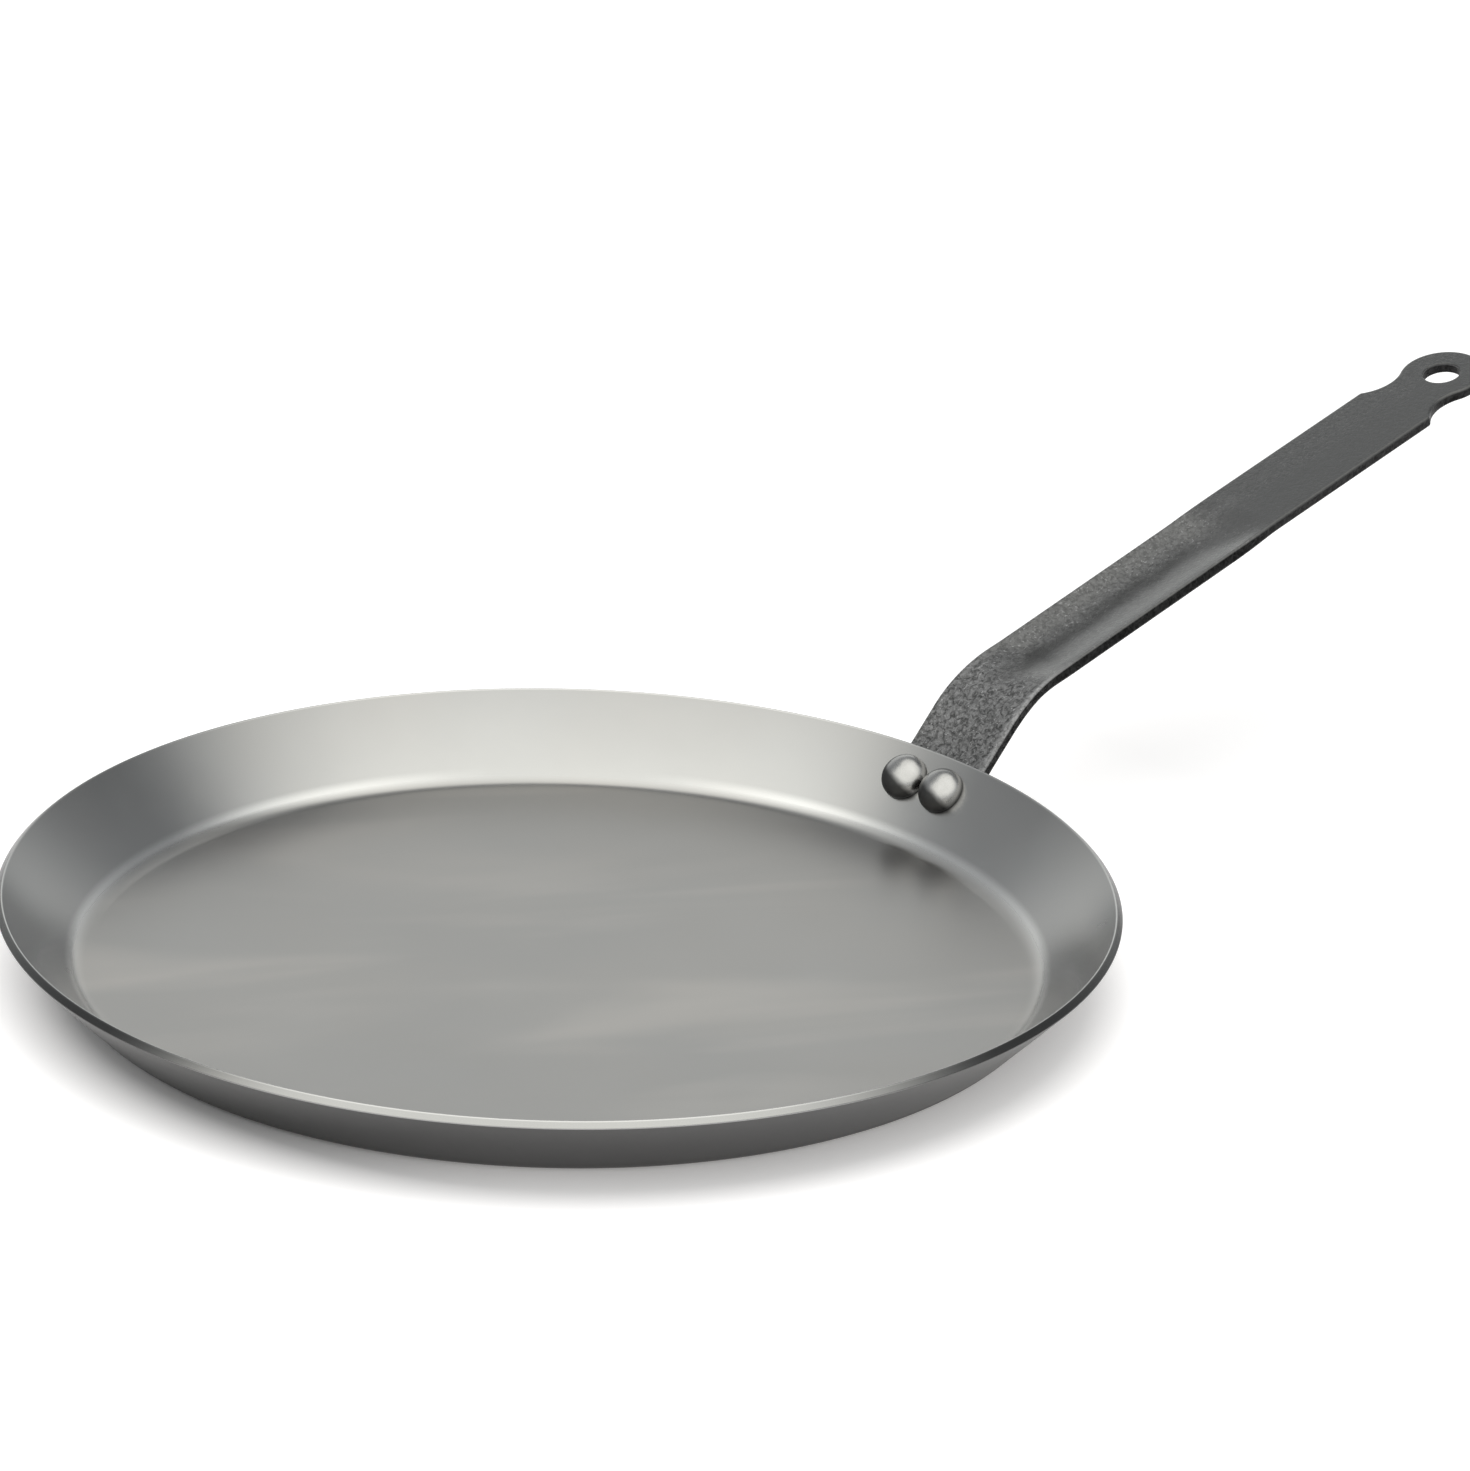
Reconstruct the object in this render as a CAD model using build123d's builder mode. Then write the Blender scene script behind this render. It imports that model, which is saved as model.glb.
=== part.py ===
from build123d import *
import math
import os

os.makedirs("parts", exist_ok=True)

# Crepe pan. Millimetres, +Z up, origin at the centre of the base's underside, handle along +X.

# Pan, pressed from one steel sheet
rim_radius = 120.35
rim_height = 17.1
sheet = 2.0
wall_angle = 45.0
inner_bend = 5.0
rim_break = 0.5

# Handle, one pressed steel strip
strip = 2.5
root_width = 22.2
grip_width = 21.0
root_below_rim = 14.8
root_corner = 5.0
seat_film = 0.02
bend_above_rim = 19.95
bend_radius = 35.0
grip_angle = 13.9
grip_length = 83.0
edge_break = 0.35

# Gutter pressed down the middle of the grip
gutter_depth = 2.2
gutter_lead = 8.0
gutter_run_in = 13.0
gutter_run_out = 16.0
bend_steps = 4
gutter_steps = 16

# Flat end with shoulders, necks and hanging eye
end_angle = 13.5
eye_distance = 68.3
eye_radius = 9.7
eye_hole_diameter = 8.6
neck_half_width = 7.6
neck_radius = 10.5
shoulder_round = 0.8

# Rivets, set through the wall and the strip
rivet_spacing = 11.2
rivet_below_rim = 8.4
shank_diameter = 5.0
head_diameter = 10.4
head_height = 4.4
head_lip = 0.6
head_sink = 0.3
set_head_diameter = 9.0
set_head_height = 1.5
set_lip = 0.6

diagonal = math.sqrt(0.5)
wall = math.radians(wall_angle)
up_wall = Vector(math.cos(wall), 0, math.sin(wall))
into_pan = Vector(-math.sin(wall), 0, math.cos(wall))
rim_point = Vector(rim_radius, 0, rim_height)

# Each rivet stands square to the wall, turned about Z to its own side of the handle
rivet_point = rim_point - up_wall * rivet_below_rim
rivet_turn = math.degrees(math.asin(rivet_spacing / 2 / rivet_point.X))


def rivet_plane(side):
    """Plane on the wall's outer face at a rivet, normal into the pan."""
    origin = rivet_point.rotate(Axis.Z, side * rivet_turn)
    return Plane(origin=origin, z_dir=into_pan.rotate(Axis.Z, side * rivet_turn))


# Pan body: floor, bend and flared wall in one turned section, its rim cut square to the sheet
base_corner = rim_radius - rim_height / math.tan(wall)
floor_corner = base_corner - sheet * math.tan(wall / 2)
rim_inner = rim_point + into_pan * sheet

with BuildPart() as pan_body:
    with BuildSketch(Plane.XZ) as pan_section:
        with BuildLine():
            outside = FilletPolyline(
                (0, 0), (base_corner, 0), (rim_radius, rim_height), radius=inner_bend + sheet
            )
            inside = FilletPolyline(
                (0, sheet), (floor_corner, sheet), (rim_inner.X, rim_inner.Z), radius=inner_bend
            )
            Line(outside @ 1, inside @ 1)
            Line(outside @ 0, inside @ 0)
        make_face()
        chamfer(pan_section.vertices().sort_by(Axis.Y)[-2:], length=rim_break)
    revolve(axis=Axis.Z)
    for side in (-1, 1):
        with BuildSketch(rivet_plane(side)):
            Circle(shank_diameter / 2)
        extrude(amount=2 * sheet, both=True, mode=Mode.SUBTRACT)

# Handle spine: up the wall, round the bend, out along the grip
grip = math.radians(grip_angle)
seat_point = rim_point - into_pan * seat_film
root_end = seat_point - up_wall * root_below_rim
bend_point = seat_point + up_wall * bend_above_rim
grip_end = bend_point + Vector(math.cos(grip), 0, math.sin(grip)) * grip_length

with BuildLine() as spine:
    FilletPolyline(root_end, bend_point, grip_end, radius=bend_radius)

spine_wire = spine.wires()[0]
bend_trim = bend_radius * math.tan((wall - grip) / 2)
bend_from = root_below_rim + bend_above_rim - bend_trim
bend_to = bend_from + bend_radius * (wall - grip)
gutter_from = bend_to - gutter_lead
gutter_to = spine_wire.length


def ease(value, low, high):
    """Smooth step from 0 at low to 1 at high."""
    share = min(1, max(0, (value - low) / (high - low)))
    return share * share * (3 - 2 * share)


def seat_dish(distance):
    """Hollow of the strip where it fits the round wall."""
    out = spine_wire.position_at(distance, position_mode=PositionMode.LENGTH).X
    return root_width**2 * math.sin(wall) / (8 * out)


def station(distance):
    """Plane square to the spine, x across the strip and y out of its upper face."""
    point = spine_wire.position_at(distance, position_mode=PositionMode.LENGTH)
    ahead = spine_wire.tangent_at(distance, position_mode=PositionMode.LENGTH)
    return Plane(origin=point, x_dir=(0, 1, 0), z_dir=ahead)


def strip_section(distance, width, dish, rise):
    """Cross-section of the strip: edges at the height rise, middle lower by the dish."""
    chord = width - 8 * dish**2 / (3 * width)
    radius = (chord**2 / 4 + dish**2) / (2 * dish)
    lean = math.asin(chord / 2 / radius)
    low_x = chord / 2 + strip * math.sin(lean)
    low_y = rise - strip * math.cos(lean)
    with BuildSketch(station(distance)) as section:
        with BuildLine():
            ThreePointArc((-chord / 2, rise), (0, rise - dish), (chord / 2, rise))
            Line((chord / 2, rise), (low_x, low_y))
            ThreePointArc((low_x, low_y), (0, rise - dish - strip), (-low_x, low_y))
            Line((-low_x, low_y), (-chord / 2, rise))
        make_face()
        chamfer(section.vertices(), length=edge_break)
    return section.sketch.face()


def grip_section(distance):
    """Section of the bend and grip, with the gutter pressed in and run out again."""
    narrowing = ease(distance, bend_from, bend_to)
    pressed = ease(distance, gutter_from, gutter_from + gutter_run_in)
    flattened = ease(distance, gutter_to - gutter_run_out, gutter_to)
    width = root_width + (grip_width - root_width) * narrowing
    dish = (edge_rise + (gutter_depth - edge_rise) * pressed) * (1 - flattened)
    return strip_section(distance, width, dish, edge_rise)


edge_rise = seat_dish(bend_from)
end = math.radians(end_angle)
out_along_end = Vector(math.cos(end), 0, math.sin(end))
up_from_end = Vector(-math.sin(end), 0, math.cos(end))
through_end = Axis((0, 0, 0), tuple(up_from_end))
end_point = grip_end + up_from_end * edge_rise

bend_gap = (gutter_from - bend_from) / bend_steps
gutter_gap = (gutter_to - gutter_from) / gutter_steps
grip_stations = [bend_from + i * bend_gap for i in range(bend_steps)]
grip_stations += [gutter_from + i * gutter_gap for i in range(gutter_steps)]

with BuildSketch(Plane(origin=end_point, x_dir=(0, 1, 0), z_dir=out_along_end)) as flat_section:
    with Locations((0, -strip / 2)):
        Rectangle(grip_width, strip)
    chamfer(flat_section.vertices(), length=edge_break)

# Outline of the flat end, measured outward from the end of the grip
half_width = grip_width / 2
neck_y = neck_half_width + neck_radius
reach = eye_radius + neck_radius
neck_x = eye_distance - math.sqrt(reach**2 - neck_y**2)
shoulder_x = neck_x - math.sqrt(neck_radius**2 - (neck_y - half_width) ** 2)
touch_x = eye_distance + (neck_x - eye_distance) * eye_radius / reach
touch_y = neck_y * eye_radius / reach

with BuildPart() as handle:
    # Flat end: shoulders, hollow necks and the hanging eye
    with BuildSketch(Plane(origin=end_point, x_dir=out_along_end, z_dir=up_from_end)):
        with BuildLine():
            Line((0, -half_width), (0, half_width))
            for side in (-1, 1):
                shoulder = (shoulder_x, side * half_width)
                touch = (touch_x, side * touch_y)
                Line((0, side * half_width), shoulder)
                ThreePointArc(shoulder, (neck_x, side * neck_half_width), touch)
            ThreePointArc((touch_x, -touch_y), (eye_distance + eye_radius, 0), (touch_x, touch_y))
        make_face()
    extrude(amount=-strip)
    upright = handle.edges().filter_by(through_end)
    fillet(upright.sort_by(Axis.X)[2:4], radius=shoulder_round)
    seam = handle.faces().sort_by(Axis.X)[0].edges()
    upright = handle.edges().filter_by(through_end)
    chamfer(handle.edges() - seam - upright, length=edge_break)
    with BuildSketch(Plane(origin=end_point, x_dir=out_along_end, z_dir=up_from_end)):
        with Locations((eye_distance, 0)):
            Circle(eye_hole_diameter / 2)
    extrude(amount=-2 * strip, both=True, mode=Mode.SUBTRACT)
    # Bend and grip, run in from the root and out to the plain strip
    grip_sections = [grip_section(distance) for distance in grip_stations]
    loft(sections=grip_sections + [flat_section.sketch.face()])
    # Root, hollowed to the wall's own curve
    root_dish = seat_dish(0)
    root_section = strip_section(0, root_width, root_dish, root_dish)
    loft(sections=[root_section, grip_sections[0]], ruled=True)
    # Rivet holes and rounded root corners
    for side in (-1, 1):
        with BuildSketch(rivet_plane(side)):
            Circle(shank_diameter / 2)
        extrude(amount=2 * strip, both=True, mode=Mode.SUBTRACT)
    root_half = handle.part.bounding_box().max.Y
    arc_reach = root_corner * (1 - diagonal)
    with BuildSketch(Plane(origin=root_end, x_dir=up_wall, z_dir=into_pan)):
        for side in (-1, 1):
            outer_y = side * (root_half + root_corner)
            inner_y = side * (root_half - root_corner)
            middle = (arc_reach, side * (root_half - arc_reach))
            with BuildLine():
                ThreePointArc((0, inner_y), middle, (root_corner, side * root_half))
                Polyline(
                    (root_corner, side * root_half),
                    (root_corner, outer_y),
                    (-root_corner, outer_y),
                    (-root_corner, inner_y),
                    (0, inner_y),
                )
            make_face()
    extrude(amount=2 * strip, both=True, mode=Mode.SUBTRACT)

# Rivet blank on Z: domed head above the wall, set head below the strip
head_radius = head_diameter / 2
set_radius = set_head_diameter / 2
shank_radius = shank_diameter / 2
head_low = sheet - head_sink
dome_from = sheet + head_lip
dome_height = head_height - head_lip
set_high = head_sink - strip - seat_film
set_low = -strip - seat_film - set_head_height

with BuildPart() as rivet_blank:
    with BuildSketch(Plane.XZ):
        with BuildLine():
            dome = Spline(
                (head_radius, dome_from),
                (diagonal * head_radius, dome_from + diagonal * dome_height),
                (0, dome_from + dome_height),
                tangents=((0, 1), (-1, 0)),
            )
            Polyline(
                dome @ 1,
                (0, set_low),
                (set_radius - set_lip, set_low),
                (set_radius, set_low + set_lip),
                (set_radius, set_high),
                (shank_radius, set_high),
                (shank_radius, head_low),
                (head_radius, head_low),
                dome @ 0,
            )
        make_face()
    revolve(axis=Axis.Z)

# Each rivet is set home, so its heads take the shape of the wall and of the strip
with BuildPart() as rivet_left:
    with Locations(rivet_plane(1)):
        add(rivet_blank.part)
    add(pan_body.part, mode=Mode.SUBTRACT)
    add(handle.part, mode=Mode.SUBTRACT)

with BuildPart() as rivet_right:
    with Locations(rivet_plane(-1)):
        add(rivet_blank.part)
    add(pan_body.part, mode=Mode.SUBTRACT)
    add(handle.part, mode=Mode.SUBTRACT)

pan_body.part.label = "pan_body"
export_step(pan_body.part, "parts/pan_body.step")
handle.part.label = "handle"
export_step(handle.part, "parts/handle.step")
rivet_left.part.label = "rivet_left"
export_step(rivet_left.part, "parts/rivet_left.step")
rivet_right.part.label = "rivet_right"
export_step(rivet_right.part, "parts/rivet_right.step")
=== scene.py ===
import math
import bpy
from mathutils import Matrix, Vector
from mathutils.geometry import delaunay_2d_cdt


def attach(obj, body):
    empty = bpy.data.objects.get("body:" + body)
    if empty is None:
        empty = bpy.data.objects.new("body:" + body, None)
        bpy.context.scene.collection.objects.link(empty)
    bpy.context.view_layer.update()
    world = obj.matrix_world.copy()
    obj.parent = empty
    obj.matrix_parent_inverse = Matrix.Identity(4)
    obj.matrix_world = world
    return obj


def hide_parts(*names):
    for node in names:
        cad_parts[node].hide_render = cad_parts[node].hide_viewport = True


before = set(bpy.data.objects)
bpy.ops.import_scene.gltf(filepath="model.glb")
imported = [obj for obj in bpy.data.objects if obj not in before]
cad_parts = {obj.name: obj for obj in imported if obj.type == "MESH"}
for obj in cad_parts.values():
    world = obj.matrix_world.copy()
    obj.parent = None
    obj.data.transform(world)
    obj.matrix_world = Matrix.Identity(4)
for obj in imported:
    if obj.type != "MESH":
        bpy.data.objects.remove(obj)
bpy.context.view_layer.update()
scene = bpy.context.scene
scene.view_settings.view_transform = "Standard"
mm = 0.001
rad = math.radians

# What the pieces share: outer corner of the rim, sheet and slope of the wall
rimSize = {"radius": 120.35 * mm, "height": 17.1 * mm, "sheet": 2.0 * mm, "wall": rad(45.0)}


# One socket of a tree, so that node maths reads as plain sums
class Wire:
    def __init__(self, tree, socket=None):
        self.tree = tree
        self.socket = socket

    def pick(self, sockets, name):
        if isinstance(name, int):
            return sockets[name]
        return next(s for s in sockets if s.name == name and s.enabled)

    def put(self, socket, value):
        if isinstance(value, Wire):
            self.tree.links.new(value.socket, socket)
        else:
            socket.default_value = value

    def node(self, kind, settings=None, values=None, out=0):
        made = self.tree.nodes.new(kind)
        for name, value in (settings or {}).items():
            setattr(made, name, value)
        for name, value in (values or {}).items():
            self.put(self.pick(made.inputs, name), value)
        return Wire(self.tree, self.pick(made.outputs, out))

    # Every output of a new node, by its name
    def outputs(self, kind, values=None):
        made = self.node(kind, values=values).socket.node
        return {s.name: Wire(self.tree, s) for s in made.outputs}

    def calc(self, operation, *values):
        return self.node("ShaderNodeMath", {"operation": operation}, dict(enumerate(values)))

    def __add__(self, other):
        return self.calc("ADD", self, other)

    def __radd__(self, other):
        return self.calc("ADD", other, self)

    def __sub__(self, other):
        return self.calc("SUBTRACT", self, other)

    def __rsub__(self, other):
        return self.calc("SUBTRACT", other, self)

    def __mul__(self, other):
        return self.calc("MULTIPLY", self, other)

    def __rmul__(self, other):
        return self.calc("MULTIPLY", other, self)

    def __truediv__(self, other):
        return self.calc("DIVIDE", self, other)

    def __rtruediv__(self, other):
        return self.calc("DIVIDE", other, self)

    def __neg__(self):
        return self.calc("MULTIPLY", self, -1)

    def __abs__(self):
        return self.calc("ABSOLUTE", self)

    def sin(self):
        return self.calc("SINE", self)

    def cos(self):
        return self.calc("COSINE", self)

    def tan(self):
        return self.calc("TANGENT", self)

    def arcsin(self):
        return self.calc("ARCSINE", self)

    def least(self, other):
        return self.calc("MINIMUM", self, other)

    def most(self, other):
        return self.calc("MAXIMUM", self, other)

    # Straight or eased run from start to end while self goes from low to high
    def run(self, low, high, start=0.0, end=1.0, ease=False):
        settings = {"interpolation_type": "SMOOTHSTEP" if ease else "LINEAR"}
        values = {"Value": self, "From Min": low, "From Max": high, "To Min": start, "To Max": end}
        return self.node("ShaderNodeMapRange", settings, values)

    # First where self is 0, second where it is 1
    def mix(self, first, second, kind="FLOAT"):
        values = {"Factor": self, "A": first, "B": second}
        return self.node("ShaderNodeMix", {"data_type": kind}, values, "Result")

    def vector(self, x, y, z):
        return self.node("ShaderNodeCombineXYZ", values={"X": x, "Y": y, "Z": z})

    def parts(self):
        return list(self.outputs("ShaderNodeSeparateXYZ", {"Vector": self}).values())

    def dot(self, other):
        settings = {"operation": "DOT_PRODUCT"}
        return self.node("ShaderNodeVectorMath", settings, {0: self, 1: other}, "Value")

    def length(self):
        return self.node("ShaderNodeVectorMath", {"operation": "LENGTH"}, {0: self}, "Value")

    def noise(self, scale, detail=3.0, roughness=0.55, distortion=0.0):
        values = {"Vector": self, "Scale": scale, "Detail": detail}
        values.update({"Roughness": roughness, "Distortion": distortion})
        return self.node("ShaderNodeTexNoise", values=values)


def socketKind(value):
    if isinstance(value, bpy.types.Material):
        return "NodeSocketMaterial"
    return "NodeSocketInt" if isinstance(value, int) else "NodeSocketFloat"


# New geometry tree with one named input per size; gives the tree and its inputs as wires
def geometryTree(name, sizes):
    tree = bpy.data.node_groups.new(name, "GeometryNodeTree")
    tree.interface.new_socket("Mesh", in_out="INPUT", socket_type="NodeSocketGeometry")
    for label, value in sizes.items():
        tree.interface.new_socket(label, in_out="INPUT", socket_type=socketKind(value))
    tree.interface.new_socket("Mesh", in_out="OUTPUT", socket_type="NodeSocketGeometry")
    source = tree.nodes.new("NodeGroupInput")
    wires = {s.name: Wire(tree, s) for s in source.outputs if s.name}
    return tree, wires


def closeTree(tree, mesh, material):
    soft = {"Geometry": mesh, "Shade Smooth": True}
    smooth = mesh.node("GeometryNodeSetShadeSmooth", values=soft)
    real = mesh.node("GeometryNodeRealizeInstances", values={"Geometry": smooth})
    dressed = mesh.node("GeometryNodeSetMaterial", values={"Geometry": real, "Material": material})
    target = tree.nodes.new("NodeGroupOutput")
    tree.links.new(dressed.socket, target.inputs[0])


# Runs the tree on the piece and keeps the result as a plain mesh
def runTree(piece, tree, sizes):
    modifier = piece.modifiers.new(tree.name, "NODES")
    modifier.node_group = tree
    for item in tree.interface.items_tree:
        if item.in_out == "INPUT" and item.name in sizes:
            modifier[item.identifier] = sizes[item.name]
    depsgraph = bpy.context.evaluated_depsgraph_get()
    mesh = bpy.data.meshes.new_from_object(
        piece.evaluated_get(depsgraph), preserve_all_data_layers=True, depsgraph=depsgraph)
    piece.modifiers.remove(modifier)
    piece.data = mesh
    mesh.name = piece.name


def newPiece(name, mesh=None):
    piece = bpy.data.objects.new(name, mesh or bpy.data.meshes.new(name))
    scene.collection.objects.link(piece)
    return piece


# Turns a section, given as (radius, height, fillet) corners, round Z; the rail is a circle
def turned(start, corners, rail, segments, filletSteps):
    index = start.node("GeometryNodeInputIndex")

    def choose(part):
        made = start.tree.nodes.new("GeometryNodeIndexSwitch")
        made.data_type = "FLOAT"
        while len(made.index_switch_items) < len(corners):
            made.index_switch_items.new()
        start.put(made.inputs[0], index)
        for socket, corner in zip(made.inputs[1:], corners):
            start.put(socket, corner[part])
        return Wire(start.tree, made.outputs[0])

    place = start.vector(choose(0) - rail, -choose(1), 0.0)
    line = start.node("GeometryNodeMeshLine", values={"Count": len(corners)})
    placed = start.node("GeometryNodeSetPosition", values={"Geometry": line, "Position": place})
    curve = start.node("GeometryNodeMeshToCurve", values={"Mesh": placed})
    fillet = {"Curve": curve, "Count": filletSteps, "Radius": choose(2)}
    section = start.node("GeometryNodeFilletCurve", {"mode": "POLY"}, fillet)
    ring = {"Resolution": segments, "Radius": rail}
    circle = start.node("GeometryNodeCurvePrimitiveCircle", values=ring)
    swept = {"Curve": circle, "Profile Curve": section}
    mesh = start.node("GeometryNodeCurveToMesh", values=swept)
    return start.node("GeometryNodeMergeByDistance", values={"Geometry": mesh, "Distance": 1e-6})


# Camera, worked out from the rim, the base and the handle's hanging eye
view = {
    "place": (-1.67772, -1.65413, 1.00630),
    "right": (0.698198, -0.715448, 0.025572),
    "up": (0.251285, 0.278360, 0.927022),
    "ahead": (0.670354, 0.640820, -0.374132),
    "lens": 293.88, "sensor": 36, "farthest": 20,
}
camera = bpy.data.objects.new("camera", bpy.data.cameras.new("camera"))
scene.collection.objects.link(camera)
scene.camera = camera
turn = Matrix((view["right"], view["up"], -Vector(view["ahead"]))).transposed()
camera.matrix_world = Matrix.Translation(view["place"]) @ turn.to_4x4()
camera.data.sensor_fit = "HORIZONTAL"
camera.data.sensor_width = view["sensor"]
camera.data.lens = view["lens"]
camera.data.clip_end = view["farthest"]

# Light by direction: a wide soft source over the camera and a lid straight above; behind the
# pan a white sweep, a dim gap over it and a dark horizon under it; matt faces get an even room
room = {
    "source": (-0.352, -0.241, 0.905), "sourceRun": (0.20, 0.93), "sourceLevel": 1.9,
    "back": (0.658, 0.752, 0.0), "backRun": (0.55, 0.95), "behindRun": (0.0, 0.35),
    "lidRun": (0.79, 0.90), "lidShare": 0.9,
    "sweep": 0.97, "sweepRun": (0.50, 0.66),
    "gap": 0.42, "gapRun": (0.35, 0.60), "darkLeft": 0.42, "darkRight": 0.20,
    "right": (0.70, -0.714, 0.0), "rightRun": (-0.5, 0.5),
    "horizon": 0.16, "horizonRun": (0.02, 0.12),
    "tintRun": (0.35, 1.4), "cool": (0.96, 1.0, 1.02, 1), "warm": (0.995, 1.0, 0.95, 1),
    "mattSide": 0.62, "mattTop": 1.25, "white": (1, 1, 1, 1),
}
world = bpy.data.worlds.new("room")
scene.world = world
world.use_nodes = True
world.node_tree.nodes.clear()
sky = Wire(world.node_tree)
rays = sky.outputs("ShaderNodeLightPath")
direction = sky.node("ShaderNodeTexCoord", out="Generated")
upward = direction.parts()[2]
toBack = direction.dot(room["back"])
behind = toBack.run(*room["behindRun"], ease=True)
source = direction.dot(room["source"]).run(*room["sourceRun"], ease=True)
lid = upward.run(*room["lidRun"], ease=True)
source = behind.mix(source, lid * room["lidShare"])
sweep = upward.run(*room["sweepRun"], 1.0, 0.0, ease=True)
sweep = sweep * toBack.run(*room["backRun"], ease=True)
toRight = direction.dot(room["right"])
darkGap = toRight.run(*room["rightRun"], room["darkLeft"], room["darkRight"])
gap = (behind * upward.run(*room["gapRun"])).mix(room["gap"], darkGap)
around = sweep.mix(gap, room["sweep"])
around = around * upward.run(*room["horizonRun"], room["horizon"], 1.0, ease=True)
shown = source.mix(around, room["sourceLevel"])
tint = shown.run(*room["tintRun"]).mix(room["cool"], room["warm"], "RGBA")
matt = upward.run(0.0, 1.0, room["mattSide"], room["mattTop"])
mirrored = rays["Is Glossy Ray"].most(rays["Is Transmission Ray"])
level = rays["Is Camera Ray"].mix(mirrored.mix(matt, shown), 1.0)
tint = mirrored.mix(room["white"], tint, "RGBA")
backdrop = sky.node("ShaderNodeBackground", values={"Color": tint, "Strength": level})
worldOut = world.node_tree.nodes.new("ShaderNodeOutputWorld")
world.node_tree.links.new(backdrop.socket, worldOut.inputs["Surface"])
print("camera and light")


def newMaterial(name):
    material = bpy.data.materials.new(name)
    material.use_nodes = True
    material.node_tree.nodes.clear()
    shader = material.node_tree.nodes.new("ShaderNodeBsdfPrincipled")
    output = material.node_tree.nodes.new("ShaderNodeOutputMaterial")
    material.node_tree.links.new(shader.outputs[0], output.inputs["Surface"])
    return material, Wire(material.node_tree), shader.inputs


def gray(start, level, warm=0.0):
    values = {"Red": level * (1 + warm), "Green": level, "Blue": level * (1 - warm)}
    return start.node("ShaderNodeCombineColor", values=values)


def bumped(start, height, strength, distance):
    values = {"Strength": strength, "Distance": distance, "Height": height}
    return start.node("ShaderNodeBump", values=values)


# Satin steel of the pan: soft clouds and fine grain, rubbed streaks over the floor, a painted
# highlight low on the wall at both sides, a lighter top edge, painted shade up the wall and on the
# rim where it faces out, and a painted dark reflection on the outside
steelLook = {
    "base": 0.375, "rough": 0.26, "patchRough": 0.06, "outRough": 0.10, "floorRough": 0.05,
    "cloudNoise": (15.0, 2.5, 0.5), "cloud": 0.16,
    "patchNoise": (55.0, 3.0, 0.55, 0.5), "patch": 0.08,
    "grainNoise": (1300.0, 2.0, 0.6), "grain": 0.024,
    "along": (0.82, -0.57, 0.0), "across": (0.57, 0.82, 0.0), "streakFine": (8, 26, 20),
    "streakNoise": (1.0, 2.5, 0.55, 0.6), "streakRun": (0.46, 0.72), "streakMiddle": 0.3,
    "streak": 0.17, "streakHue": 0.018,
    "bendRun": (2.05 * mm, 3.4 * mm), "wallRun": (3.4 * mm, 17.5 * mm),
    "floorTone": 1.02, "bendTone": 1.08, "topTone": 0.90,
    "warm": 0.008, "floorWarm": 0.014, "hueNoise": (22.0, 2.0, 0.5), "hue": 0.03,
    "front": (-0.72, -0.69, 0.0), "frontRun": (75 * mm, 112 * mm), "frontLift": 0.4,
    "insideRun": (-0.10, 0.20),
    "side": (0.70, -0.714, 0.0), "sideRun": (12 * mm, 65 * mm),
    "bendHighlight": 0.55, "bendHighlightRun": (3.5 * mm, 5.1 * mm),
    "topEdgeLift": 0.50, "topEdgeLiftRun": (17.9 * mm, 18.1 * mm), "rimTone": 0.25, "rimRun": (0.15, 0.50),
    "outside": 0.26, "outsideRun": (3 * mm, 15 * mm, 0.80, 1.25),
    "bump": 0.04, "bumpDistance": 0.2 * mm,
}
panSteel, at, shader = newMaterial("pan_steel")
texture = at.outputs("ShaderNodeTexCoord")
place, facing = texture["Object"], texture["Normal"]
placeX, placeY, placeZ = place.parts()

# The rim's near part, facing the viewer, takes the inside's tone: painted light that keeps it
# bright
front = place.dot(steelLook["front"]).run(*steelLook["frontRun"], ease=True)
inside = facing.parts()[2] + front * steelLook["frontLift"]
inside = inside.run(*steelLook["insideRun"], ease=True)
onBend = placeZ.run(*steelLook["bendRun"])
onFloor = 1 - onBend
cloud = place.noise(*steelLook["cloudNoise"]) - 0.5
patch = place.noise(*steelLook["patchNoise"]) - 0.5
grain = place.noise(*steelLook["grainNoise"]) - 0.5

# Rubbed streaks, long one way and fine the other, on the floor only
alongFine, acrossFine, highFine = steelLook["streakFine"]
along = place.dot(steelLook["along"]) * alongFine
across = place.dot(steelLook["across"]) * acrossFine
streak = at.vector(along, across, placeZ * highFine).noise(*steelLook["streakNoise"])
streak = streak.run(*steelLook["streakRun"], ease=True)
tone = 1 + cloud * steelLook["cloud"] + patch * steelLook["patch"] + grain * steelLook["grain"]
tone = tone + (streak - steelLook["streakMiddle"]) * steelLook["streak"] * onFloor

# Painted highlight low on the wall at both sides, a lighter top edge, painted shade on the rim
# where it faces out, and painted light brightest at the bend and dimming up the wall
bendHighlight = onBend * placeZ.run(*steelLook["bendHighlightRun"], 1.0, 0.0, ease=True)
bendHighlight = bendHighlight * abs(place.dot(steelLook["side"])).run(*steelLook["sideRun"], ease=True)
topEdgeLift = placeZ.run(*steelLook["topEdgeLiftRun"])
fromAxis = at.vector(placeX, placeY, 0.0)
# Painted shade on the rim where it faces out, but not on its near part
outward = facing.dot(fromAxis) / fromAxis.length().most(mm)
dimRim = outward.run(*steelLook["rimRun"]) * (1 - front)
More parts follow.
